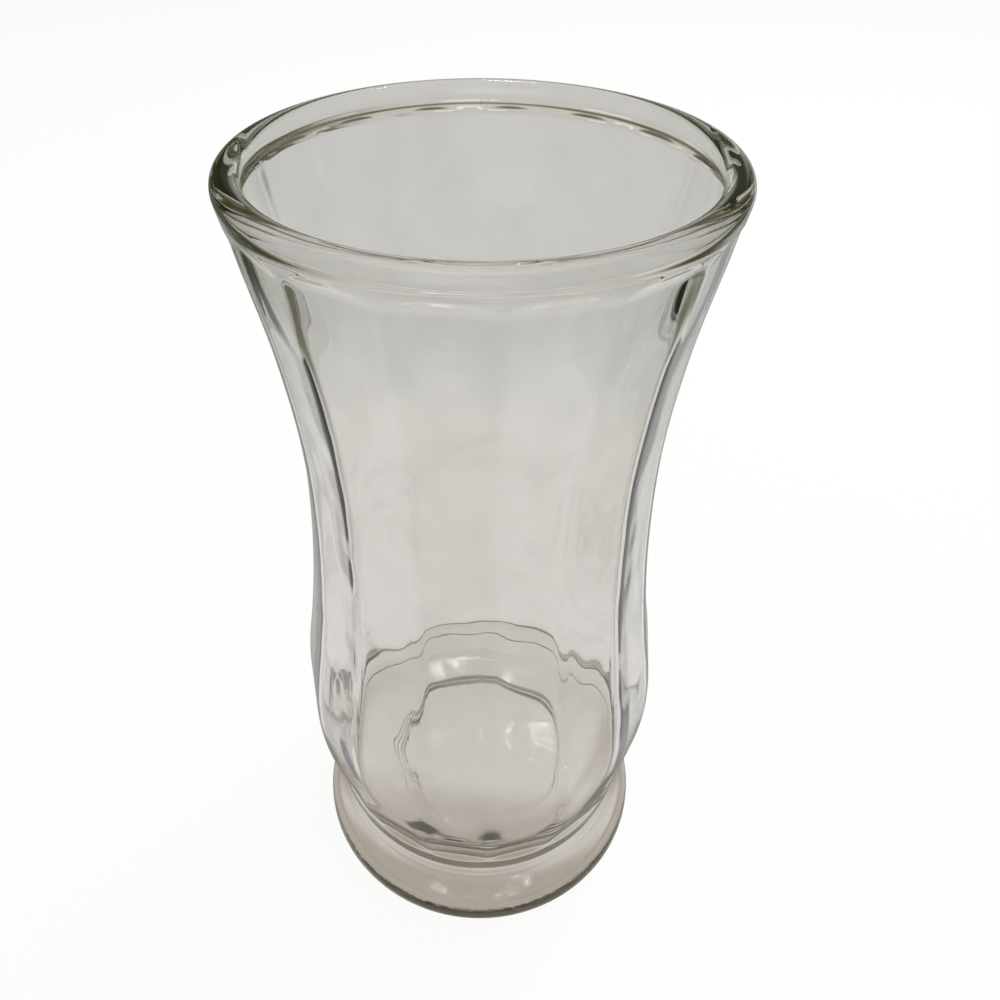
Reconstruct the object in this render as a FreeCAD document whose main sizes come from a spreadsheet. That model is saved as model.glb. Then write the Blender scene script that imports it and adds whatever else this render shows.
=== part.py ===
import FreeCAD, Part
import math
import os
import Sketcher

# Footed glass vase with a flared mouth, sixteen flat panels and a round beaded lip.
# Millimetres, +Z up, the foot stands on Z = 0 and the vase is centred on the Z axis.

os.makedirs("parts", exist_ok=True)
doc = FreeCAD.newDocument("vase")

SIZES = {
    # whole vase
    "height": 230.0,
    "waist_share": 0.12565,
    "bulge_share": 0.2803,
    "neck_share": 0.6672,
    # outer profile of the body, from the waist to the lip
    "bulge_radius": 53.75,
    "bulge_curve": 120.0,
    "neck_depth": 7.8,
    "upper_neck_curve": 236.0,
    "flare_angle": 10.9,
    # lip bead
    "bead_thickness": 6.3,
    "bead_blend_curve": 4.0,
    # inside
    "wall_thickness": 3.2,
    "floor_rise": 3.1,
    "heel_curve": 9.0,
    # panels
    "panel_count": 16,
    "ridge_sink": 0.06,
    "panel_top_gap": 10.0,
    "panel_shoulder_curve": 8.0,
    "cutter_margin": 4.0,
    # foot
    "foot_radius": 53.7,
    "foot_edge_curve": 5.8,
    "foot_edge_centre_height": 3.5,
    "foot_shoulder_angle": 52.5,
    "foot_flare_curve": 75.0,
    "bearing_setback": 7.7,
    "kick_setback": 15.7,
    "kick_height": 7.0,
    "kick_top_height": 12.0,
}

# Sizes that follow from the ones above, as formulas in the same sheet
FOLLOWING = {
    "waist_height": "height * waist_share",
    "bulge_height": "height * bulge_share",
    "neck_height": "height * neck_share",
    "neck_radius": "bulge_radius - neck_depth",
    "neck_rise": "neck_height - bulge_height",
    "lower_neck_curve": "(neck_rise^2 + neck_depth^2) / (2 * neck_depth) - bulge_curve",
    "waist_radius": "bulge_radius - bulge_curve + sqrt(bulge_curve^2 - (bulge_height - waist_height)^2)",
    "bead_curve": "bead_thickness / 2",
    "bead_height": "height - bead_curve",
    "floor_height": "waist_height + floor_rise",
    "panel_top_height": "height - panel_top_gap",
    "flare_reach": "upper_neck_curve * (1 - cos(flare_angle * 1 deg))",
    "flare_rise": "upper_neck_curve * sin(flare_angle * 1 deg)",
    "lip_radius": "neck_radius + flare_reach + (height - neck_height - flare_rise) * tan(flare_angle * 1 deg)",
    "widest_radius": "max(lip_radius; bulge_radius)",
    "panel_depth": "widest_radius * (1 - cos(180 deg / panel_count)) + ridge_sink",
    "cutter_width": "2 * (widest_radius * tan(180 deg / panel_count) + cutter_margin)",
    "edge_radius": "foot_radius - foot_edge_curve",
    "bearing_inner_radius": "foot_radius - bearing_setback",
    "kick_radius": "foot_radius - kick_setback",
}

sheet = doc.addObject("Spreadsheet::Sheet", "sizes")
CELLS = {name: str(value) for name, value in SIZES.items()}
CELLS.update({name: "=" + formula for name, formula in FOLLOWING.items()})
for row, (name, content) in enumerate(CELLS.items(), start=1):
    sheet.set(f"A{row}", name)
    sheet.set(f"B{row}", content)
    sheet.setAlias(f"B{row}", name)
doc.recompute()

S = {name: float(sheet.get(name)) for name in CELLS}
START, END, CENTRE = range(1, 4)
ROOT = (-1, START)


def cell(text):
    """Puts the sheet's name before each size name in an expression."""
    for name in CELLS:
        text = text.replace("{" + name + "}", f"<<sizes>>.{name}")
    return text


def vector(x, z):
    return FreeCAD.Vector(x, z, 0)


def new_body(label):
    body = doc.addObject("PartDesign::Body", label)
    body.Label = label
    return body


def origin_item(body, role):
    return [item for item in body.Origin.OriginFeatures if item.Role == role][0]


def upright_sketch(body, name):
    """A sketch on the body's own XZ plane: its X is the radius and its Y is the height."""
    sketch = body.newObject("Sketcher::SketchObject", name)
    sketch.AttachmentSupport = (origin_item(body, "XZ_Plane"), [""])
    sketch.MapMode = "FlatFace"
    return sketch


def line(sketch, start, end):
    return sketch.addGeometry(Part.LineSegment(vector(*start), vector(*end)), False)


def arc(sketch, centre, radius, first, last):
    circle = Part.Circle(vector(*centre), FreeCAD.Vector(0, 0, 1), radius)
    return sketch.addGeometry(Part.ArcOfCircle(circle, first, last), False)


def join(sketch, *ends):
    return sketch.addConstraint(Sketcher.Constraint("Coincident", *ends))


def smooth(sketch, *ends):
    return sketch.addConstraint(Sketcher.Constraint("Tangent", *ends))


def rule(sketch, kind, *items):
    return sketch.addConstraint(Sketcher.Constraint(kind, *items))


def size(sketch, kind, items, guess, name, expression):
    """Adds one dimension and binds it to the sheet."""
    index = sketch.addConstraint(Sketcher.Constraint(kind, *items, guess))
    sketch.renameConstraint(index, name)
    sketch.setExpression(f"Constraints.{name}", cell(expression))


def across(sketch, item, end, guess, name, expression):
    size(sketch, "DistanceX", (*ROOT, item, end), guess, name, expression)


def up(sketch, item, end, guess, name, expression):
    size(sketch, "DistanceY", (*ROOT, item, end), guess, name, expression)


def radius(sketch, item, guess, name, expression):
    size(sketch, "Radius", (item,), guess, name, expression)


def polar(centre, distance, angle):
    return centre[0] + distance * math.cos(angle), centre[1] + distance * math.sin(angle)


def bearing(centre, point):
    return math.atan2(point[1] - centre[1], point[0] - centre[0]) % (2 * math.pi)


flare = math.radians(S["flare_angle"])


def wall_chain(sketch, side, inset, inset_text, bottom_height, top_height):
    """Bulge arc, two neck arcs and flare line, all set in from the outer profile."""
    bulge_curve = S["bulge_curve"] - inset
    lower_curve = S["lower_neck_curve"] + inset
    upper_curve = S["upper_neck_curve"] + inset
    bulge = (S["bulge_radius"] - S["bulge_curve"], S["bulge_height"])
    lower = (S["neck_radius"] + S["lower_neck_curve"], S["neck_height"])
    upper = (S["neck_radius"] + S["upper_neck_curve"], S["neck_height"])
    drop = math.asin((bottom_height - bulge[1]) / bulge_curve)
    lean = bearing(bulge, lower)
    flare_start = polar(upper, upper_curve, math.pi - flare)
    flare_end = (flare_start[0] + (top_height - flare_start[1]) * math.tan(flare), top_height)
    bulge_arc = arc(sketch, bulge, bulge_curve, drop, lean)
    lower_arc = arc(sketch, lower, lower_curve, math.pi, math.pi + lean)
    upper_arc = arc(sketch, upper, upper_curve, math.pi - flare, math.pi)
    flare_line = line(sketch, flare_start, flare_end)
    smooth(sketch, bulge_arc, END, lower_arc, END)
    smooth(sketch, lower_arc, START, upper_arc, END)
    smooth(sketch, upper_arc, START, flare_line, START)
    size(sketch, "DistanceX", (bulge_arc, CENTRE, *ROOT), -bulge[0], side + "_bulge_centre",
         "{bulge_curve} - {bulge_radius}")
    up(sketch, bulge_arc, CENTRE, bulge[1], side + "_bulge_level", "{bulge_height}")
    radius(sketch, bulge_arc, bulge_curve, side + "_bulge_round", "{bulge_curve} - " + inset_text)
    up(sketch, lower_arc, CENTRE, lower[1], side + "_neck_level", "{neck_height}")
    across(sketch, lower_arc, START, lower[0] - lower_curve, side + "_neck_across",
           "{neck_radius} - " + inset_text)
    up(sketch, upper_arc, CENTRE, upper[1], side + "_upper_level", "{neck_height}")
    radius(sketch, upper_arc, upper_curve, side + "_upper_round", "{upper_neck_curve} + " + inset_text)
    size(sketch, "Angle", (flare_line,), math.pi / 2 - flare, side + "_flare_slope",
         "90 deg - {flare_angle} * 1 deg")
    return bulge_arc, flare_line, flare_end


def revolve(body, sketch, name):
    feature = body.newObject("PartDesign::Revolution", name)
    feature.Profile = sketch
    feature.ReferenceAxis = (sketch, ["V_Axis"])
    feature.Angle = 360
    sketch.Visibility = False
    doc.recompute()
    return feature


# Body: the round wall, its lip bead and its floor, turned in one piece
body = new_body("vase_body")
wall = upright_sketch(body, "wall_outline")
waist_point = (S["waist_radius"], S["waist_height"])
bead_base = S["bead_height"] - S["bead_curve"] * math.sin(flare)
outer_bulge, outer_flare, outer_end = wall_chain(wall, "outer", 0, "0", S["waist_height"], bead_base)
bead_centre = (outer_end[0] - S["bead_curve"] * math.cos(flare), S["bead_height"])
blend_across = S["wall_thickness"] + S["bead_blend_curve"] - S["bead_curve"]
blend_down = math.sqrt((S["bead_curve"] + S["bead_blend_curve"]) ** 2 - blend_across ** 2)
blend_centre = polar(polar(bead_centre, blend_across, math.pi - flare), blend_down, 1.5 * math.pi - flare)
blend_end = polar(blend_centre, S["bead_blend_curve"], -flare)
heel_height = S["floor_height"] + S["heel_curve"]
inner_bulge, inner_flare, inner_end = wall_chain(wall, "inner", S["wall_thickness"], "{wall_thickness}",
                                                 heel_height, blend_end[1])
bead_arc = arc(wall, bead_centre, S["bead_curve"], -flare, bearing(bead_centre, blend_centre))
blend_arc = arc(wall, blend_centre, S["bead_blend_curve"], -flare, bearing(blend_centre, bead_centre))
heel_centre = (S["neck_radius"] - S["heel_curve"], heel_height)
heel_arc = arc(wall, heel_centre, S["heel_curve"], 1.5 * math.pi, 1.95 * math.pi)
floor_line = line(wall, (0, S["floor_height"]), (heel_centre[0], S["floor_height"]))
axis_line = line(wall, (0, S["waist_height"]), (0, S["floor_height"]))
base_line = line(wall, (0, S["waist_height"]), waist_point)
up(wall, outer_bulge, START, S["waist_height"], "waist_level", "{waist_height}")
smooth(wall, outer_flare, END, bead_arc, START)
up(wall, bead_arc, CENTRE, S["bead_height"], "bead_level", "{bead_height}")
radius(wall, bead_arc, S["bead_curve"], "bead_round", "{bead_curve}")
smooth(wall, bead_arc, END, blend_arc, END)
radius(wall, blend_arc, S["bead_blend_curve"], "blend_round", "{bead_blend_curve}")
smooth(wall, blend_arc, START, inner_flare, END)
smooth(wall, inner_bulge, START, heel_arc, END)
radius(wall, heel_arc, S["heel_curve"], "heel_round", "{heel_curve}")
smooth(wall, heel_arc, START, floor_line, END)
up(wall, floor_line, START, S["floor_height"], "floor_level", "{floor_height}")
rule(wall, "Horizontal", floor_line)
join(wall, floor_line, START, axis_line, END)
rule(wall, "PointOnObject", axis_line, END, -2)
rule(wall, "Vertical", axis_line)
join(wall, axis_line, START, base_line, START)
rule(wall, "Horizontal", base_line)
join(wall, base_line, END, outer_bulge, START)
round_wall = revolve(body, wall, "round_wall")
round_volume = round_wall.Shape.Volume

# Panels: one upright slab taken off the outside, repeated round the axis
panel = upright_sketch(body, "panel_outline")
cut_low = S["waist_height"] - S["cutter_margin"]
panel_bulge, panel_flare, panel_end = wall_chain(panel, "panel", S["panel_depth"], "{panel_depth}",
                                                 cut_low, S["panel_top_height"])
shoulder_centre = polar(panel_end, S["panel_shoulder_curve"], -flare)
cut_high = shoulder_centre[1] + S["panel_shoulder_curve"]
cut_side = shoulder_centre[0] + S["cutter_margin"]
shoulder_arc = arc(panel, shoulder_centre, S["panel_shoulder_curve"], math.pi / 2, math.pi - flare)
top_line = line(panel, (shoulder_centre[0], cut_high), (cut_side, cut_high))
side_line = line(panel, (cut_side, cut_high), (cut_side, cut_low))
low_line = line(panel, (cut_side, cut_low), (S["waist_radius"], cut_low))
up(panel, panel_flare, END, S["panel_top_height"], "panel_top", "{panel_top_height}")
smooth(panel, panel_flare, END, shoulder_arc, END)
radius(panel, shoulder_arc, S["panel_shoulder_curve"], "shoulder_round", "{panel_shoulder_curve}")
smooth(panel, shoulder_arc, START, top_line, START)
rule(panel, "Horizontal", top_line)
size(panel, "DistanceX", (top_line, START, top_line, END), S["cutter_margin"], "side_margin", "{cutter_margin}")
join(panel, top_line, END, side_line, START)
rule(panel, "Vertical", side_line)
join(panel, side_line, END, low_line, START)
up(panel, low_line, START, cut_low, "cut_level", "{waist_height} - {cutter_margin}")
rule(panel, "Horizontal", low_line)
join(panel, low_line, END, panel_bulge, START)
doc.recompute()
slab = body.newObject("PartDesign::Pocket", "panel_cut")
slab.Profile = panel
slab.Type = "Length"
slab.Midplane = True
slab.setExpression("Length", cell("{cutter_width}"))
panel.Visibility = False
doc.recompute()
panels = body.newObject("PartDesign::PolarPattern", "panels")
panels.Originals = [slab]
panels.Axis = (origin_item(body, "Z_Axis"), [""])
panels.Angle = 360
panels.Occurrences = SIZES["panel_count"]
panels.setExpression("Occurrences", cell("{panel_count}"))
body.Tip = panels
doc.recompute()

# Foot: round, with a rolled edge, a flat bearing ring and a kicked-up underside
foot = new_body("foot")
section = upright_sketch(foot, "foot_outline")
edge_centre = (S["edge_radius"], S["foot_edge_centre_height"])
edge_top = polar(edge_centre, S["foot_edge_curve"], math.radians(S["foot_shoulder_angle"]))
edge_low = (edge_centre[0] + math.sqrt(S["foot_edge_curve"] ** 2 - edge_centre[1] ** 2), 0)
middle = ((waist_point[0] + edge_top[0]) / 2, (waist_point[1] + edge_top[1]) / 2)
chord = math.dist(waist_point, edge_top)
offset = math.sqrt(S["foot_flare_curve"] ** 2 - (chord / 2) ** 2)
flare_centre = polar(middle, offset, bearing(edge_top, waist_point) - math.pi / 2)
dome_rise = S["kick_top_height"] - S["kick_height"]
dome_curve = (S["kick_radius"] ** 2 + dome_rise ** 2) / (2 * dome_rise)
dome_centre = (0, S["kick_top_height"] - dome_curve)
kick_point = (S["kick_radius"], S["kick_height"])
ring_point = (S["bearing_inner_radius"], 0)
top_line = line(section, (0, S["waist_height"]), waist_point)
flare_arc = arc(section, flare_centre, S["foot_flare_curve"],
                bearing(flare_centre, waist_point), bearing(flare_centre, edge_top))
edge_arc = arc(section, edge_centre, S["foot_edge_curve"],
               bearing(edge_centre, edge_low), bearing(edge_centre, edge_top) + 2 * math.pi)
ring_line = line(section, edge_low, ring_point)
kick_line = line(section, ring_point, kick_point)
dome_arc = arc(section, dome_centre, dome_curve, bearing(dome_centre, kick_point), math.pi / 2)
axis_line = line(section, (0, S["kick_top_height"]), (0, S["waist_height"]))
join(section, top_line, END, flare_arc, START)
join(section, flare_arc, END, edge_arc, END)
join(section, edge_arc, START, ring_line, START)
join(section, ring_line, END, kick_line, START)
join(section, kick_line, END, dome_arc, START)
join(section, dome_arc, END, axis_line, START)
join(section, axis_line, END, top_line, START)
rule(section, "Horizontal", top_line)
rule(section, "Vertical", axis_line)
rule(section, "PointOnObject", axis_line, START, -2)
rule(section, "PointOnObject", ring_line, START, -1)
rule(section, "PointOnObject", ring_line, END, -1)
rule(section, "PointOnObject", dome_arc, CENTRE, -2)
up(section, top_line, START, S["waist_height"], "waist_level", "{waist_height}")
across(section, top_line, END, S["waist_radius"], "waist_across", "{waist_radius}")
radius(section, flare_arc, S["foot_flare_curve"], "flare_round", "{foot_flare_curve}")
across(section, edge_arc, CENTRE, S["edge_radius"], "edge_across", "{edge_radius}")
up(section, edge_arc, CENTRE, S["foot_edge_centre_height"], "edge_centre_level", "{foot_edge_centre_height}")
radius(section, edge_arc, S["foot_edge_curve"], "edge_round", "{foot_edge_curve}")
up(section, edge_arc, END, edge_top[1], "edge_level",
   "{foot_edge_centre_height} + {foot_edge_curve} * sin({foot_shoulder_angle} * 1 deg)")
across(section, ring_line, END, S["bearing_inner_radius"], "bearing_across", "{bearing_inner_radius}")
across(section, dome_arc, START, S["kick_radius"], "kick_across", "{kick_radius}")
up(section, dome_arc, START, S["kick_height"], "kick_level", "{kick_height}")
up(section, dome_arc, END, S["kick_top_height"], "kick_top_level", "{kick_top_height}")
foot_turn = revolve(foot, section, "foot_turn")
foot.Tip = foot_turn

body.Placement = FreeCAD.Placement()
foot.Placement = FreeCAD.Placement()
doc.recompute()

PIECES = [body, foot]
for item in doc.Objects:
    if "Invalid" in item.State or "Error" in item.State:
        raise RuntimeError(f"{item.Name} did not compute")
for sketch in (wall, panel, section):
    if sketch.solve() != 0:
        raise RuntimeError(f"{sketch.Name} is not solved")
if panels.Shape.Volume >= round_volume:
    raise RuntimeError("the panels cut nothing")
for piece in PIECES:
    if piece.Shape.isNull() or not piece.Shape.isValid():
        raise RuntimeError(f"{piece.Label} has no valid shape")
    piece.Shape.exportStep(f"parts/{piece.Label}.step")
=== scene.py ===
import math

import bpy
import numpy as np
from mathutils import Euler, Matrix, Vector, noise


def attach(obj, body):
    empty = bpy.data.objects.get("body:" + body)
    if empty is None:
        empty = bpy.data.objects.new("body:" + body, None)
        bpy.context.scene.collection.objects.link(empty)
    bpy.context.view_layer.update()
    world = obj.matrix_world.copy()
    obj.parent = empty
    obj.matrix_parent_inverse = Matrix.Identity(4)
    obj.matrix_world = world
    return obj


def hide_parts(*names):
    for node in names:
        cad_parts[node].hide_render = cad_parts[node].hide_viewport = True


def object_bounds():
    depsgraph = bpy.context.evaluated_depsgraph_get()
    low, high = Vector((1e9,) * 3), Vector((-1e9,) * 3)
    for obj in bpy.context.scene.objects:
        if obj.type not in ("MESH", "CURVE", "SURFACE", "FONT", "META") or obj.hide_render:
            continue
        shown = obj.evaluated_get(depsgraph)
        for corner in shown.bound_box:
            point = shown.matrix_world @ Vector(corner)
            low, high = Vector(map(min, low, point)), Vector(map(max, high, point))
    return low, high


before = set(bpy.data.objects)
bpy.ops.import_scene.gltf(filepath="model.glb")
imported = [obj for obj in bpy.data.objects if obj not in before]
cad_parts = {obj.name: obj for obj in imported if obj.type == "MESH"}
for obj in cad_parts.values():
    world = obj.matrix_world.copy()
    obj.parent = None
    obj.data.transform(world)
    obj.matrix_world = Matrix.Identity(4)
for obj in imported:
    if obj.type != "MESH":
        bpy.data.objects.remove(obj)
cad_low, cad_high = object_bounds()

MM = 0.001

# Camera, fitted to the outline of the vase: focal length and optical axis in pixels of the frame
FRAME_PIXELS = 1000
FOCAL, AXIS_X, AXIS_Y = 862.0, 481.2, 450.0
PITCH, TURN, ROLL = math.radians(38.18), math.radians(7.75), math.radians(0.29)
AWAY, ABOVE = 178.8 * MM, 291.4 * MM
SENSOR_WIDTH = 36.0
NEAREST_SEEN = 10 * MM

# Wall and bead, in millimetres like all sizes of the vase
HEIGHT = round(cad_high[2] / MM, 1)
WAIST_SHARE, BULGE_SHARE, NECK_SHARE = 0.12565, 0.2803, 0.6672
WAIST, BULGE_Z, NECK_Z = WAIST_SHARE * HEIGHT, BULGE_SHARE * HEIGHT, NECK_SHARE * HEIGHT
BULGE_R, BULGE_CURVE, NECK_DEPTH, UPPER_CURVE = 53.75, 120.0, 7.8, 236.0
NECK_R = BULGE_R - NECK_DEPTH
LOWER_CURVE = ((NECK_Z - BULGE_Z) ** 2 + NECK_DEPTH ** 2) / (2 * NECK_DEPTH) - BULGE_CURVE
FLARE = math.radians(10.9)
BEAD = 3.15
BEAD_Z = HEIGHT - BEAD
BEAD_BLEND = 4.0
WALL = 3.2
BEAD_ROWS, BEAD_BLEND_ROWS = 34, 9
BEAD_OVERLAP = 0.05

# The glass stands a little fuller than the profile between waist and bead, less so near the top
FULLER = 0.6
FULLER_FROM = (WAIST - 2, WAIST + 14)
FULLER_EASE, FULLER_EASE_SHARE = (180, 205), 0.6
FULLER_TO = (212, BEAD_Z - 4)

# Panels and the ridges between them
PANELS = 16
HALF_PANEL = math.pi / PANELS
PANEL_TOP, SHOULDER = HEIGHT - 10.0, 8.0
RIDGE_SINK = 0.06
RIDGE_CURVE, INNER_RIDGE_CURVE = 8.0, 9.0
RIDGE_SOFTNESS = 0.25
PANEL_WALL, RIDGE_WALL = 2.5, 2.35
# Columns of points from the middle of a panel to its ridge, closer together at the ridge
COLUMN_SHARES = (0, 0.18, 0.35, 0.5, 0.63, 0.74, 0.84, 0.92)
CREASE_ROWS, WALL_ROWS, SHOULDER_ROWS = 8, 80, 18
CREASE_REACH, WALL_START = 6, 8
WALL_END, SHOULDER_START, SHOULDER_END = 4, 2.5, 0.15

# Foot: rolled edge, flare and crease
FOOT_R, EDGE, LEDGE, CORNER = 53.8, 11.0, 0.8, 1.5
EDGE_ANGLE, LEDGE_ANGLE = math.radians(34), math.radians(100)
CORNER_ROWS, EDGE_ROWS, LEDGE_ROWS = 9, 12, 7
FOOT_CURVE = 75.0
FLARE_START, FLARE_END, FLARE_ROWS = 0.4, 3.0, 16
CREASE_DROPS = (2.5, 2.0, 1.6, 1.2, 0.9, 0.6, 0.3)
CREASE_BLEND, CREASE_SLACK = 1.6, 0.3

# Underside from the bearing ring inward: radius and height of two low steps, then the dome
KICK = ((46.0, 0.0), (32.0, 3.0), (30.6, 4.3), (29.6, 4.5), (28.0, 6.2))
KICK_TOP = 9.0
KICK_ROUND, KICK_ROUND_ROWS, ROUND_SHARE = 0.6, 5, 0.45
DOME_END, DOME_ROWS = 1.2, 16
RING_START, RING_END, RING_ROWS = 1.5, 0.3, 5

# Inside: floor, heel and the waves left where the glass met the heel of the mould
FLOOR_Z, HEEL = WAIST + 3.1, 11.0
INSIDE_START, INSIDE_END, INSIDE_ROWS = 1.5, 1.0, 84
HEEL_ROWS, FLOOR_START, FLOOR_ROWS = 20, 2.0, 18
FOLLOW_RISE, FOLLOW_TOP = 22, (22, 4)
WAVE_RISE, WAVE_LEAST = (-2, 16), 0.12
HEEL_WAVE_SHARE, FLOOR_WAVE_SHARE = 0.7, 0.2
# Size of a wave, waves round the vase, shift of the pattern and height of one wave
WAVES = ((0.8, 3.1, 0.0, 16.0), (0.5, 7.0, 9.0, 9.0))
POLE_R = 1.5


def add_camera():
    """The camera of the photograph, shifted to its optical axis."""
    data = bpy.data.cameras.new("camera")
    data.sensor_width = SENSOR_WIDTH
    data.lens = SENSOR_WIDTH * FOCAL / FRAME_PIXELS
    data.shift_x = (FRAME_PIXELS / 2 - AXIS_X) / FRAME_PIXELS
    data.shift_y = (AXIS_Y - FRAME_PIXELS / 2) / FRAME_PIXELS
    data.clip_start = NEAREST_SEEN
    camera = bpy.data.objects.new("camera", data)
    bpy.context.scene.collection.objects.link(camera)
    camera.matrix_world = (
        Matrix.Translation((AWAY * math.sin(TURN), -AWAY * math.cos(TURN), ABOVE))
        @ Euler((math.pi / 2 - PITCH, 0, TURN)).to_matrix().to_4x4()
        @ Matrix.Rotation(ROLL, 4, "Z")
    )
    bpy.context.scene.camera = camera


def step(value, low, high):
    """Smooth rise from 0 to 1 between two values."""
    s = np.clip((value - low) / (high - low), 0, 1)
    return s * s * (3 - 2 * s)


def profile(z, inset):
    """Radius of the wall's profile at height z, set in by a distance."""
    z = np.asarray(z, float)
    bulge_x, lower_x, upper_x = BULGE_R - BULGE_CURVE, NECK_R + LOWER_CURVE, NECK_R + UPPER_CURVE
    lean = math.atan2(NECK_Z - BULGE_Z, lower_x - bulge_x)
    bulge_end = BULGE_Z + (BULGE_CURVE - inset) * math.sin(lean)
    upper_curve = UPPER_CURVE + inset
    upper_end = NECK_Z + upper_curve * math.sin(FLARE)
    flare_x = upper_x - upper_curve * math.cos(FLARE)
    on_bulge = bulge_x + np.sqrt(np.maximum((BULGE_CURVE - inset) ** 2 - (z - BULGE_Z) ** 2, 0))
    on_lower = lower_x - np.sqrt(np.maximum((LOWER_CURVE + inset) ** 2 - (z - NECK_Z) ** 2, 0))
    on_upper = upper_x - np.sqrt(np.maximum(upper_curve ** 2 - (z - NECK_Z) ** 2, 0))
    on_flare = flare_x + (z - upper_end) * math.tan(FLARE)
    above_neck = np.where(z < upper_end, on_upper, on_flare)
    line = np.where(z < bulge_end, on_bulge, np.where(z < NECK_Z, on_lower, above_neck))
    ease = 1 - FULLER_EASE_SHARE * step(z, *FULLER_EASE)
    return line + FULLER * step(z, *FULLER_FROM) * ease * (1 - step(z, *FULLER_TO))


WIDEST = max(float(profile(HEIGHT, 0)), BULGE_R)
PANEL_DEPTH = WIDEST * (1 - math.cos(HALF_PANEL)) + RIDGE_SINK
BEAD_BASE = BEAD_Z - BEAD * math.sin(FLARE)
BEAD_R = float(profile(BEAD_BASE, 0)) - BEAD * math.cos(FLARE)

half = np.concatenate([-np.array(COLUMN_SHARES[:0:-1]), COLUMN_SHARES, [1.0]]) * HALF_PANEL
columns = np.concatenate([half + 2 * HALF_PANEL * k for k in range(PANELS)])
COLUMNS = len(columns)


def panel_radius(z):
    """Distance of a panel's middle from the axis: the wall set in, then the run-out at its top."""
    if z < PANEL_TOP:
        return float(profile(z, PANEL_DEPTH))
    centre_r = float(profile(PANEL_TOP, PANEL_DEPTH)) + SHOULDER * math.cos(FLARE)
    centre_z = PANEL_TOP - SHOULDER * math.sin(FLARE)
    return centre_r - math.sqrt(max(SHOULDER ** 2 - (z - centre_z) ** 2, 0))


def soft_min(a, b, width):
    """The lower of two values, rounded over a width where they cross."""
    h = np.clip(0.5 + 0.5 * (b - a) / width, 0, 1)
    return b * (1 - h) + a * h - width * h * (1 - h)


def polygon(apothem, curve):
    """Radius of a sixteen-sided outline at every column, its corners rounded to a curve."""
    from_middle = np.abs((columns + HALF_PANEL) % (2 * HALF_PANEL) - HALF_PANEL)
    from_ridge = HALF_PANEL - from_middle
    centre = (apothem - curve) / math.cos(HALF_PANEL)
    off_centre = np.sqrt(np.maximum(curve ** 2 - (centre * np.sin(from_ridge)) ** 2, 0))
    corner = centre * np.cos(from_ridge) + off_centre
    corner_start = math.atan2((apothem - curve) * math.tan(HALF_PANEL), apothem)
    return np.where(from_middle > corner_start, corner, apothem / np.cos(from_middle))


def panelled(z, curve):
    """Outer radius of the body at height z for every column."""
    return soft_min(np.full(COLUMNS, float(profile(z, 0))), polygon(panel_radius(z), curve), RIDGE_SOFTNESS)


def arc(centre, radius, first, last, count):
    """Points of an arc as radius and height, from one angle to another."""
    angles = np.linspace(first, last, count)
    return list(zip(centre[0] + radius * np.cos(angles), centre[1] + radius * np.sin(angles)))


def rounded(corners):
    """A chain of points along straight lines, its corners rounded off."""
    line = []
    for before, corner, after in zip(corners, corners[1:], corners[2:]):
        to_before, to_after = np.subtract(before, corner), np.subtract(after, corner)
        start = corner + to_before * min(KICK_ROUND / np.linalg.norm(to_before), ROUND_SHARE)
        stop = corner + to_after * min(KICK_ROUND / np.linalg.norm(to_after), ROUND_SHARE)
        for s in np.linspace(0, 1, KICK_ROUND_ROWS):
            line.append((1 - s) ** 2 * start + 2 * s * (1 - s) * np.array(corner) + s * s * stop)
    return line


def underside_points():
    """Dome, steps, kick slope and bearing ring, from the axis outward."""
    kick_r, kick_z = KICK[-1]
    dome_rise = KICK_TOP - kick_z
    dome_curve = (kick_r ** 2 + dome_rise ** 2) / (2 * dome_rise)
    points = []
    for r in np.linspace(POLE_R, kick_r - DOME_END, DOME_ROWS):
        points.append((r, KICK_TOP - dome_curve + math.sqrt(dome_curve ** 2 - r * r)))
    points += rounded([points[-1], *KICK[::-1], (FOOT_R - CORNER, 0.0)])
    for r in np.linspace(KICK[0][0] + RING_START, FOOT_R - CORNER - RING_END, RING_ROWS):
        points.append((r, 0.0))
    return points


def rolled_edge_points():
    """Small corner at the table, tall side, and small corner at its top."""
    points = arc((FOOT_R - CORNER, CORNER), CORNER, -math.pi / 2, 0, CORNER_ROWS)
    points += arc((FOOT_R - EDGE, CORNER), EDGE, 0, EDGE_ANGLE, EDGE_ROWS)[1:]
    side_r, side_z = points[-1]
    ledge = (side_r - LEDGE * math.cos(EDGE_ANGLE), side_z - LEDGE * math.sin(EDGE_ANGLE))
    return points + arc(ledge, LEDGE, EDGE_ANGLE, LEDGE_ANGLE, LEDGE_ROWS)[1:]


def foot_flare_rows(start):
    """Hollow curve from the rolled edge up to the crease, where it takes the panels' outline."""
    low, top = np.array(start), np.array([float(profile(WAIST, 0)), WAIST])
    length = np.linalg.norm(top - low)
    along = (top - low) / length
    off_chord = math.sqrt(FOOT_CURVE ** 2 - (length / 2) ** 2)
    centre = (top + low) / 2 + np.array([along[1], -along[0]]) * off_chord
    crease = polygon(panel_radius(WAIST), RIDGE_CURVE)
    heights = np.linspace(low[1] + FLARE_START, WAIST - FLARE_END, FLARE_ROWS)
    rows = []
    for z in np.concatenate([heights, WAIST - np.array(CREASE_DROPS)]):
        r = centre[0] - math.sqrt(FOOT_CURVE ** 2 - (z - centre[1]) ** 2)
        s = step(z, WAIST - CREASE_BLEND, WAIST)
        rows.append((r * (1 - s) + np.minimum(crease, r + CREASE_SLACK) * s, z))
    return rows


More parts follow.
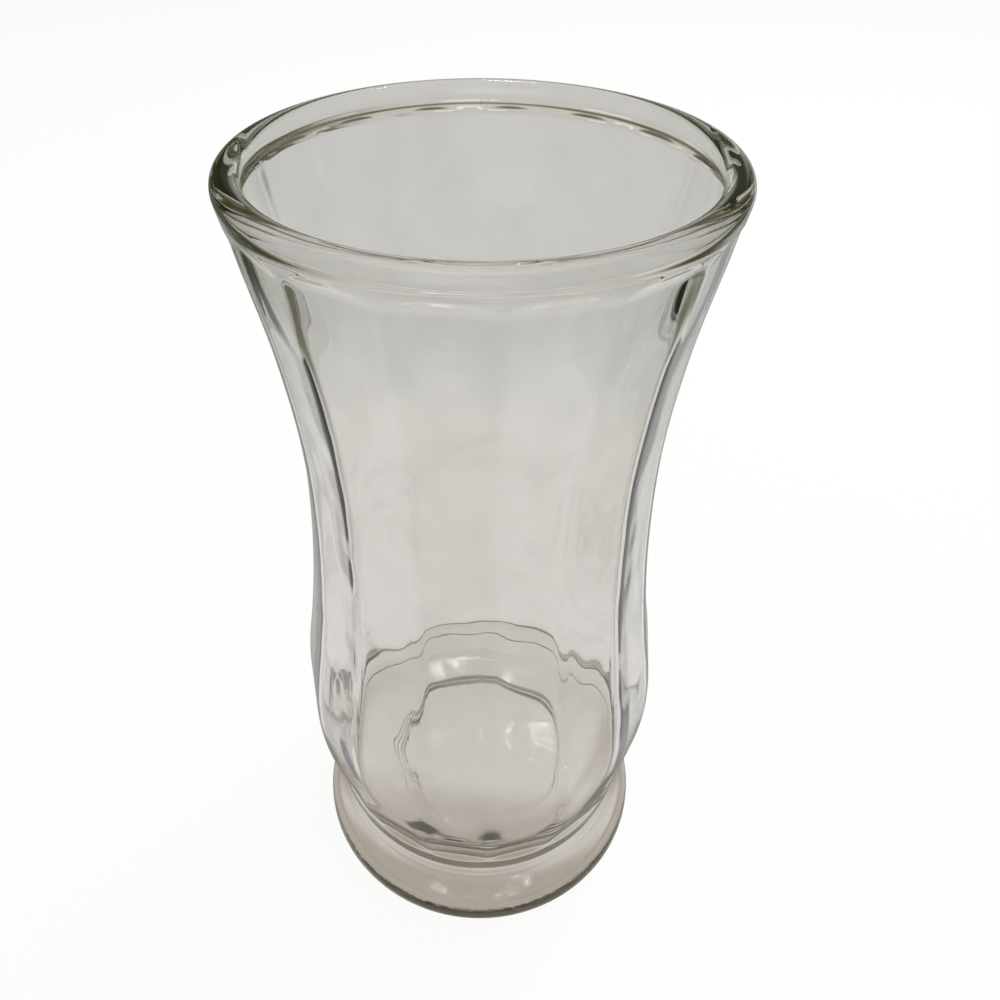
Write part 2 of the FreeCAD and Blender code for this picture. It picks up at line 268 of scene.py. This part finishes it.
def outside_rows():
    """Panelled outside of the body, from the crease to the bead."""
    heights = np.concatenate([
        np.linspace(WAIST, WAIST + CREASE_REACH, CREASE_ROWS),
        np.linspace(WAIST + WALL_START, PANEL_TOP - WALL_END, WALL_ROWS),
        np.linspace(PANEL_TOP - SHOULDER_START, BEAD_BASE - SHOULDER_END, SHOULDER_ROWS),
    ])
    return [(panelled(z, RIDGE_CURVE), z) for z in heights]


def bead_points():
    """The bead from the outside over the top, and the blend below it on the inside."""
    across = WALL + BEAD_BLEND - BEAD
    down = math.sqrt((BEAD + BEAD_BLEND) ** 2 - across ** 2)
    blend = (BEAD_R - across * math.cos(FLARE) - down * math.sin(FLARE),
             BEAD_Z + across * math.sin(FLARE) - down * math.cos(FLARE))
    bead_end = math.atan2(blend[1] - BEAD_Z, blend[0] - BEAD_R) % (2 * math.pi)
    blend_start = math.atan2(BEAD_Z - blend[1], BEAD_R - blend[0])
    points = arc((BEAD_R, BEAD_Z), BEAD, -FLARE + BEAD_OVERLAP, bead_end, BEAD_ROWS)
    return points + arc(blend, BEAD_BLEND, blend_start, -FLARE, BEAD_BLEND_ROWS)[1:]


def uneven(z):
    """Slow waves in the inside of the glass at height z, for every column."""
    return np.array([
        sum(size * noise.noise((around * math.cos(a) + shift, around * math.sin(a), z / tall))
            for size, around, shift, tall in WAVES)
        for a in columns
    ])


def inside_rows(start_z):
    """Inside of the wall, following the panels between its ends, then the heel and the floor."""
    heel_z = FLOOR_Z + HEEL
    reach = BULGE_CURVE - WALL - HEEL
    heel_r = BULGE_R - BULGE_CURVE + math.sqrt(reach ** 2 - (heel_z - BULGE_Z) ** 2)
    tangent = math.atan2(heel_z - BULGE_Z, heel_r - (BULGE_R - BULGE_CURVE))
    heel_top = heel_z + HEEL * math.sin(tangent)
    from_middle = np.abs((columns + HALF_PANEL) % (2 * HALF_PANEL) - HALF_PANEL) / HALF_PANEL
    wall = PANEL_WALL + (RIDGE_WALL - PANEL_WALL) * np.sin(from_middle * math.pi / 2) ** 2
    rows = []
    for z in np.linspace(start_z - INSIDE_START, heel_top + INSIDE_END, INSIDE_ROWS):
        follow = step(z, heel_top, heel_top + FOLLOW_RISE)
        follow = follow * (1 - step(z, PANEL_TOP - FOLLOW_TOP[0], PANEL_TOP - FOLLOW_TOP[1]))
        plain = float(profile(z, WALL)) * (1 - follow) + (panelled(z, INNER_RIDGE_CURVE) - wall) * follow
        fade = 1 - step(z, heel_top + WAVE_RISE[0], heel_top + WAVE_RISE[1])
        rows.append((plain + uneven(z) * (WAVE_LEAST + (1 - WAVE_LEAST) * fade), z))
    for r, z in arc((heel_r, heel_z), HEEL, tangent, -math.pi / 2, HEEL_ROWS):
        wave = HEEL_WAVE_SHARE * uneven(z)
        rows.append((r + wave, z + wave * (1 - (z - FLOOR_Z) / HEEL)))
    floor_wave = FLOOR_WAVE_SHARE * uneven(FLOOR_Z)
    for r in np.linspace(heel_r - FLOOR_START, POLE_R, FLOOR_ROWS):
        rows.append((r, FLOOR_Z + floor_wave * (r / heel_r) ** 2))
    return rows


def add_vase():
    """The whole vase as one closed skin, from the middle of the underside to the inside floor."""
    edge = rolled_edge_points()
    bead = bead_points()
    rows = underside_points() + edge + foot_flare_rows(edge[-1]) + outside_rows() + bead
    rows += inside_rows(bead[-1][1])
    radii = np.array([np.broadcast_to(r, (COLUMNS,)) for r, z in rows])
    heights = np.array([np.broadcast_to(z, (COLUMNS,)) for r, z in rows])
    points = np.stack([radii * np.cos(columns), radii * np.sin(columns), heights], axis=-1).reshape(-1, 3) * MM
    points = np.concatenate([points, [[0, 0, KICK_TOP * MM], [0, 0, FLOOR_Z * MM]]])
    first_pole, last_pole = len(points) - 2, len(points) - 1
    last_row = (len(rows) - 1) * COLUMNS
    faces = []
    for a in range(0, last_row, COLUMNS):
        b = a + COLUMNS
        for j in range(COLUMNS):
            k = (j + 1) % COLUMNS
            faces.append((a + j, a + k, b + k, b + j))
    for j in range(COLUMNS):
        k = (j + 1) % COLUMNS
        faces.append((first_pole, k, j))
        faces.append((last_pole, last_row + j, last_row + k))
    mesh = bpy.data.meshes.new("vase_glass")
    mesh.from_pydata([tuple(point) for point in points], [], faces)
    mesh.polygons.foreach_set("use_smooth", [True] * len(mesh.polygons))
    mesh.update()
    mesh.materials.append(clear_glass())
    vase = bpy.data.objects.new("vase_glass", mesh)
    bpy.context.scene.collection.objects.link(vase)
    return vase


class Tree:
    """A node tree with short calls to add nodes and wire them."""

    def __init__(self, owner):
        owner.use_nodes = True
        self.nodes, self.links = owner.node_tree.nodes, owner.node_tree.links
        self.nodes.clear()

    def put(self, socket, value):
        """Wires a socket to an input, or sets the input to a plain value."""
        if isinstance(value, bpy.types.NodeSocket):
            self.links.new(value, socket)
        else:
            socket.default_value = value

    def add(self, kind, **inputs):
        """A node with its inputs given by name, spaces written as underscores."""
        made = self.nodes.new("ShaderNode" + kind)
        for name, value in inputs.items():
            self.put(made.inputs[name.replace("_", " ")], value)
        return made

    def math(self, operation, first, second=0.0):
        made = self.add("Math")
        made.operation = operation
        self.put(made.inputs[0], first)
        self.put(made.inputs[1], second)
        return made.outputs[0]

    def plus(self, first, second):
        return self.math("ADD", first, second)

    def times(self, *values):
        total = values[0]
        for value in values[1:]:
            total = self.math("MULTIPLY", total, value)
        return total

    def greatest(self, *values):
        total = values[0]
        for value in values[1:]:
            total = self.math("MAXIMUM", total, value)
        return total

    def inverse(self, value):
        """One less a value."""
        return self.math("SUBTRACT", 1.0, value)

    def rise(self, value, low, high):
        """Smooth rise from 0 to 1 between two values."""
        made = self.add("MapRange", From_Min=low, From_Max=high, Value=value)
        made.interpolation_type = "SMOOTHSTEP"
        return made.outputs["Result"]

    def fall(self, value, low, high):
        """Smooth fall from 1 to 0 between two values."""
        return self.inverse(self.rise(value, low, high))

    def between(self, value, low, high):
        """One where a whole number lies between two values."""
        return self.times(self.math("GREATER_THAN", value, low), self.math("LESS_THAN", value, high))

    def noise(self, place, scale, detail):
        return self.add("TexNoise", Vector=place, Scale=scale, Detail=detail).outputs["Fac"]

    def split(self, vector):
        return self.add("SeparateXYZ", Vector=vector).outputs

    def colour(self, share, first, second, kind="MIX"):
        """Two colours mixed by a share."""
        made = self.add("Mix")
        made.data_type = "RGBA"
        made.blend_type = kind
        self.put(made.inputs[0], share)
        self.put(made.inputs[6], first)
        self.put(made.inputs[7], second)
        return made.outputs[2]

    def shader(self, share, first, second):
        """Two shaders mixed by a share."""
        made = self.add("MixShader")
        for socket, value in zip(made.inputs, (share, first, second)):
            self.put(socket, value)
        return made.outputs[0]


WHITE = (1, 1, 1, 1)

# Glass: what the first wall, the later walls and a long way inside the glass let through; the long way's olive
# is partly the glass's own colour and partly painted shade
GLASS_IOR = 1.52
FIRST_WALL, LATER_WALLS, LONG_WAY_OLIVE_AND_SHADE = (0.695, 0.668, 0.64, 1), (0.985, 0.985, 0.98, 1), (0.36, 0.37, 0.30, 1)
SHADOW_TINT, BODY_TINT, BODY_DENSITY = (0.86, 0.86, 0.84, 1), (0.36, 0.26, 0.08, 1), 5.0
LAST_OF_FIRST_WALL, LAST_OF_BOTH_WALLS, ONE_TURN = 1.5, 4.5, 0.5
# Above this height light that was mirrored on its way counts as a long way, too, a painted shade that darkens
# the bead
BEAD_SHADE = (0.20, 0.21)
# Relief: scale and detail of the waves, scale of the ring's grain, and where ring and seam lie, in metres
WAVE_SCALE, WAVE_DETAIL, WAVE_WEIGHT = 24.0, 2.0, 0.6
GRAIN_SCALE, GRAIN_WEIGHT, RING_LEVEL = 720.0, 0.12, (0.0003, 0.0012)
SEAM_X, SEAM_WIDTH, SEAM_WEIGHT = -0.0066, (0.0003, 0.0009), 8.0
SEAM_LEVEL, SEAM_BEHIND = (0.2215, 0.2225), (0.0, 0.01)
RELIEF, RELIEF_SHARE = 0.0012, 0.08
# Dullness: an uneven film all over, the worn ring, and the basin inside the foot
FILM_SCALE, FILM_DETAIL, FILM_PATCHES, FILM_DULL, RING_DULL = 90.0, 5.0, (0.45, 0.75), 0.05, 0.06
BASIN_TOP, BASIN_BASE, BASIN_DULL = (0.022, 0.05), (0.004, 0.008), 0.08
# Painted shade: a dark veil where the glass turns away from the eye, and thin dust in patches
DUST_AND_EDGE_SHADE, EDGE_SHADE_FACING, EDGE_SHADE_SHARE = (0.16, 0.155, 0.115, 1), (0.72, 0.98), 0.6
DUST_PATCHES, DUST_SHARE, EVEN_FACING = (0.35, 0.8), 0.05, 0.5


def clear_glass():
    """Clear soda-lime glass, olive where light runs long in it, with painted shade where light met many
    surfaces or was mirrored in the bead.
    """
    made = bpy.data.materials.new("clear_glass")
    tree = Tree(made)
    path = tree.add("LightPath").outputs
    place = tree.add("TexCoord").outputs["Object"]
    x, y, z = tree.split(place)

    later = tree.math("GREATER_THAN", path["Transmission Depth"], LAST_OF_FIRST_WALL)
    # Painted shade: light that met more than four surfaces, or was mirrored in the bead, is darkened to the
    # long way's olive
    turns = tree.math("SUBTRACT", path["Ray Depth"], path["Transmission Depth"])
    painted_bead_shade = tree.times(tree.math("GREATER_THAN", turns, ONE_TURN), tree.rise(z, *BEAD_SHADE))
    long_way_or_painted_shade = tree.greatest(tree.math("GREATER_THAN", path["Ray Depth"], LAST_OF_BOTH_WALLS), painted_bead_shade)
    colour = tree.colour(long_way_or_painted_shade, tree.colour(later, FIRST_WALL, LATER_WALLS), LONG_WAY_OLIVE_AND_SHADE)

    ring = tree.fall(z, *RING_LEVEL)
    grain = tree.add("TexVoronoi", Vector=place, Scale=GRAIN_SCALE).outputs["Distance"]
    seam = tree.fall(tree.math("ABSOLUTE", tree.plus(x, -SEAM_X)), *SEAM_WIDTH)
    seam = tree.times(seam, tree.rise(z, *SEAM_LEVEL), tree.rise(y, *SEAM_BEHIND), SEAM_WEIGHT)
    waves = tree.times(tree.noise(place, WAVE_SCALE, WAVE_DETAIL), WAVE_WEIGHT)
    height = tree.plus(tree.plus(waves, seam), tree.times(grain, ring, GRAIN_WEIGHT))
    bump = tree.add("Bump", Strength=RELIEF_SHARE, Distance=RELIEF, Height=height)

    film = tree.noise(place, FILM_SCALE, FILM_DETAIL)
    dull = tree.plus(tree.times(tree.rise(film, *FILM_PATCHES), FILM_DULL), tree.times(ring, RING_DULL))
    basin = tree.times(tree.fall(z, *BASIN_TOP), tree.rise(z, *BASIN_BASE), BASIN_DULL)
    glass = tree.add("BsdfPrincipled", Base_Color=colour, Transmission_Weight=1.0, IOR=GLASS_IOR,
                     Roughness=tree.plus(dull, basin), Normal=bump.outputs["Normal"])
    clear = tree.add("BsdfTransparent", Color=SHADOW_TINT)
    body = tree.shader(path["Is Shadow Ray"], glass.outputs[0], clear.outputs[0])

    facing = tree.add("LayerWeight", Blend=EVEN_FACING).outputs["Facing"]
    # Painted shade darkens the glass's outline where it turns away from the eye; the patches below are dust
    painted_edge_shade = tree.times(tree.rise(facing, *EDGE_SHADE_FACING), EDGE_SHADE_SHARE)
    dust = tree.times(tree.rise(film, *DUST_PATCHES), DUST_SHARE)
    dust_and_shade_share = tree.times(tree.plus(painted_edge_shade, dust), path["Is Camera Ray"])
    dust_and_shade_veil = tree.add("BsdfDiffuse", Color=DUST_AND_EDGE_SHADE)
    tint = tree.add("VolumeAbsorption", Color=BODY_TINT, Density=BODY_DENSITY)
    tree.add("OutputMaterial", Surface=tree.shader(dust_and_shade_share, body, dust_and_shade_veil.outputs[0]), Volume=tint.outputs[0])
    return made


# Paper sweep that the vase stands on
FLOOR_HALF, FLOOR_DROP = 6.0, 0.0002
PAPER_LOW, PAPER_HIGH, TOOTH_SCALE, TOOTH_DETAIL = (0.77, 0.77, 0.765, 1), (0.84, 0.84, 0.84, 1), 180.0, 6.0
TOOTH_DEPTH, TOOTH_SHARE = 0.0002, 0.15
GLOW_SHARE = 0.9
# What the glass shows of it: the table's end, the dark beyond, and the shade of the vase, in metres
TABLE_END, PAST_TABLE = (0.215, 0.25), (0.90, 0.92, 0.93, 1)
DARK_SIDE, DARK_SPREAD, DARK_FRONT, DARK_FLOOR = (0.15, 0.27), 0.5, (0.13, 0.25), (0.105, 0.11, 0.055, 1)
SHADE, SHADE_FRONT, SHADE_EDGE = (0.63, 0.575, 0.525, 1), (-0.028, -0.008), (0.040, 0.050)
SHADE_BACK, SHADE_END = (0.0, 0.05), (0.06, 0.085)
BOTH_WALLS = (3.5, 4.5)


def paper():
    """White paper. The vase's shade, the table's end and the dark beyond it show only in the glass."""
    made = bpy.data.materials.new("floor")
    tree = Tree(made)
    path = tree.add("LightPath").outputs
    place = tree.add("TexCoord").outputs["Object"]
    x, y = tree.split(place)[:2]
    tooth = tree.noise(place, TOOTH_SCALE, TOOTH_DETAIL)
    press = tree.add("Bump", Strength=TOOTH_SHARE, Distance=TOOTH_DEPTH, Height=tooth)
    matte = tree.add("BsdfDiffuse", Color=tree.colour(tooth, PAPER_LOW, PAPER_HIGH),
                     Normal=press.outputs["Normal"])

    in_glass = tree.inverse(path["Is Camera Ray"])
    table = tree.colour(tree.times(tree.rise(y, *TABLE_END), in_glass), WHITE, PAST_TABLE)
    length = tree.add("VectorMath")
    length.operation = "LENGTH"
    tree.put(length.inputs[0], place)
    away = length.outputs["Value"]
    edge = tree.times(tree.rise(away, *SHADE_EDGE), tree.fall(y, *SHADE_BACK))
    shaded = tree.times(tree.greatest(tree.fall(y, *SHADE_FRONT), edge), tree.fall(away, *SHADE_END), in_glass)
    spread = tree.times(tree.greatest(y, 0.0), DARK_SPREAD)
    beside = tree.rise(tree.math("SUBTRACT", tree.math("ABSOLUTE", x), spread), *DARK_SIDE)
    before = tree.rise(tree.times(y, -1.0), *DARK_FRONT)
    see_through = tree.between(path["Ray Depth"], *BOTH_WALLS)
    dark = tree.times(tree.greatest(beside, before), in_glass, tree.inverse(see_through))
    glow = tree.add("Emission", Color=tree.colour(dark, tree.colour(shaded, table, SHADE), DARK_FLOOR),
                    Strength=1.0)

    seen = tree.greatest(path["Is Camera Ray"], path["Is Glossy Ray"], path["Is Transmission Ray"])
    tree.add("OutputMaterial",
             Surface=tree.shader(tree.times(seen, GLOW_SHARE), matte.outputs[0], glow.outputs[0]))
    return made


def add_floor():
    mesh = bpy.data.meshes.new("floor")
    corners = [(x * FLOOR_HALF, y * FLOOR_HALF, 0) for x, y in ((-1, -1), (1, -1), (1, 1), (-1, 1))]
    mesh.from_pydata(corners, [], [(0, 1, 2, 3)])
    mesh.materials.append(paper())
    floor = bpy.data.objects.new("floor", mesh)
    floor.location.z = -FLOOR_DROP
    bpy.context.scene.collection.objects.link(floor)
    return floor


# Room round the table by direction: dark aside, high behind and overhead, and a window low behind
PALE_WALL, DARK_WALL = (0.86, 0.84, 0.79, 1), (0.105, 0.105, 0.05, 1)
ASIDE, BEHIND, BEHIND_UP, BEHIND_SHARE = (0.22, 0.48), (0.1, 0.4), (0.2, 0.32), 0.88
OVERHEAD, OVERHEAD_SHARE = (0.55, 0.8), 0.7
PANE_TURNS, PANE_EDGE, PANE_SHARE = 31.0, (0.2, 0.6), 0.35
PANE_SILL, PANE_HEAD, PANE_SIDES = (0.03, 0.06), (0.11, 0.14), (0.5, 0.7)
# The background counts one step more than a surface does
WALLS_TO_SKY = (4.5, 5.5)


def light_room():
    """World colour by direction, white where it is seen directly or through both walls."""
    world = bpy.data.worlds.new("studio")
    bpy.context.scene.world = world
    tree = Tree(world)
    path = tree.add("LightPath").outputs
    x, y, z = tree.split(tree.add("TexCoord").outputs["Generated"])
    aside = tree.rise(tree.math("ABSOLUTE", x), *ASIDE)
    behind = tree.times(tree.rise(y, *BEHIND), tree.rise(z, *BEHIND_UP), BEHIND_SHARE)
    overhead = tree.times(tree.rise(z, *OVERHEAD), OVERHEAD_SHARE)
    see_through = tree.between(path["Ray Depth"], *WALLS_TO_SKY)
    dark = tree.times(tree.greatest(aside, behind, overhead), tree.inverse(see_through))
    panes = tree.rise(tree.math("SINE", tree.times(x, PANE_TURNS)), *PANE_EDGE)
    window = tree.times(panes, tree.rise(z, *PANE_SILL), tree.fall(z, *PANE_HEAD),
                        tree.rise(y, *PANE_SIDES), PANE_SHARE)
    room = tree.colour(1.0, tree.colour(dark, PALE_WALL, DARK_WALL), window, "ADD")
    white = tree.greatest(see_through, path["Is Camera Ray"])
    background = tree.add("Background", Color=tree.colour(white, room, WHITE), Strength=1.0)
    tree.add("OutputWorld", Surface=background.outputs[0])


# Lamps: place, point that they face, width and height in metres, watts, and whether the glass mirrors them
LAMPS = {
    "key": ((0.5, 0.7, 1.6), (0, 0, 0.1), 0.7, 0.7, 30, False),
    "fill": ((-1.3, -0.6, 1.3), (0, 0, 0.1), 1.0, 1.0, 7, False),
    "window_left": ((-0.12, 0.75, 1.2), (0, 0, 0.02), 0.035, 0.018, 0.16, True),
    "window_right": ((-0.01, 0.75, 1.17), (0, 0, 0.02), 0.02, 0.03, 0.12, True),
}


def add_lamp(name, place, target, width, height, watts, mirrored):
    data = bpy.data.lights.new(name, "AREA")
    data.shape = "RECTANGLE"
    data.size, data.size_y, data.energy = width, height, watts
    lamp = bpy.data.objects.new(name, data)
    bpy.context.scene.collection.objects.link(lamp)
    lamp.location = place
    lamp.rotation_euler = (Vector(target) - Vector(place)).to_track_quat("-Z", "Y").to_euler()
    lamp.visible_glossy = mirrored
    lamp.visible_transmission = mirrored


add_camera()
vase = add_vase()
floor = add_floor()
light_room()
for name, settings in LAMPS.items():
    add_lamp(name, *settings)
bpy.context.scene.view_settings.view_transform = "Standard"

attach(vase, "root")
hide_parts("vase_body", "foot")
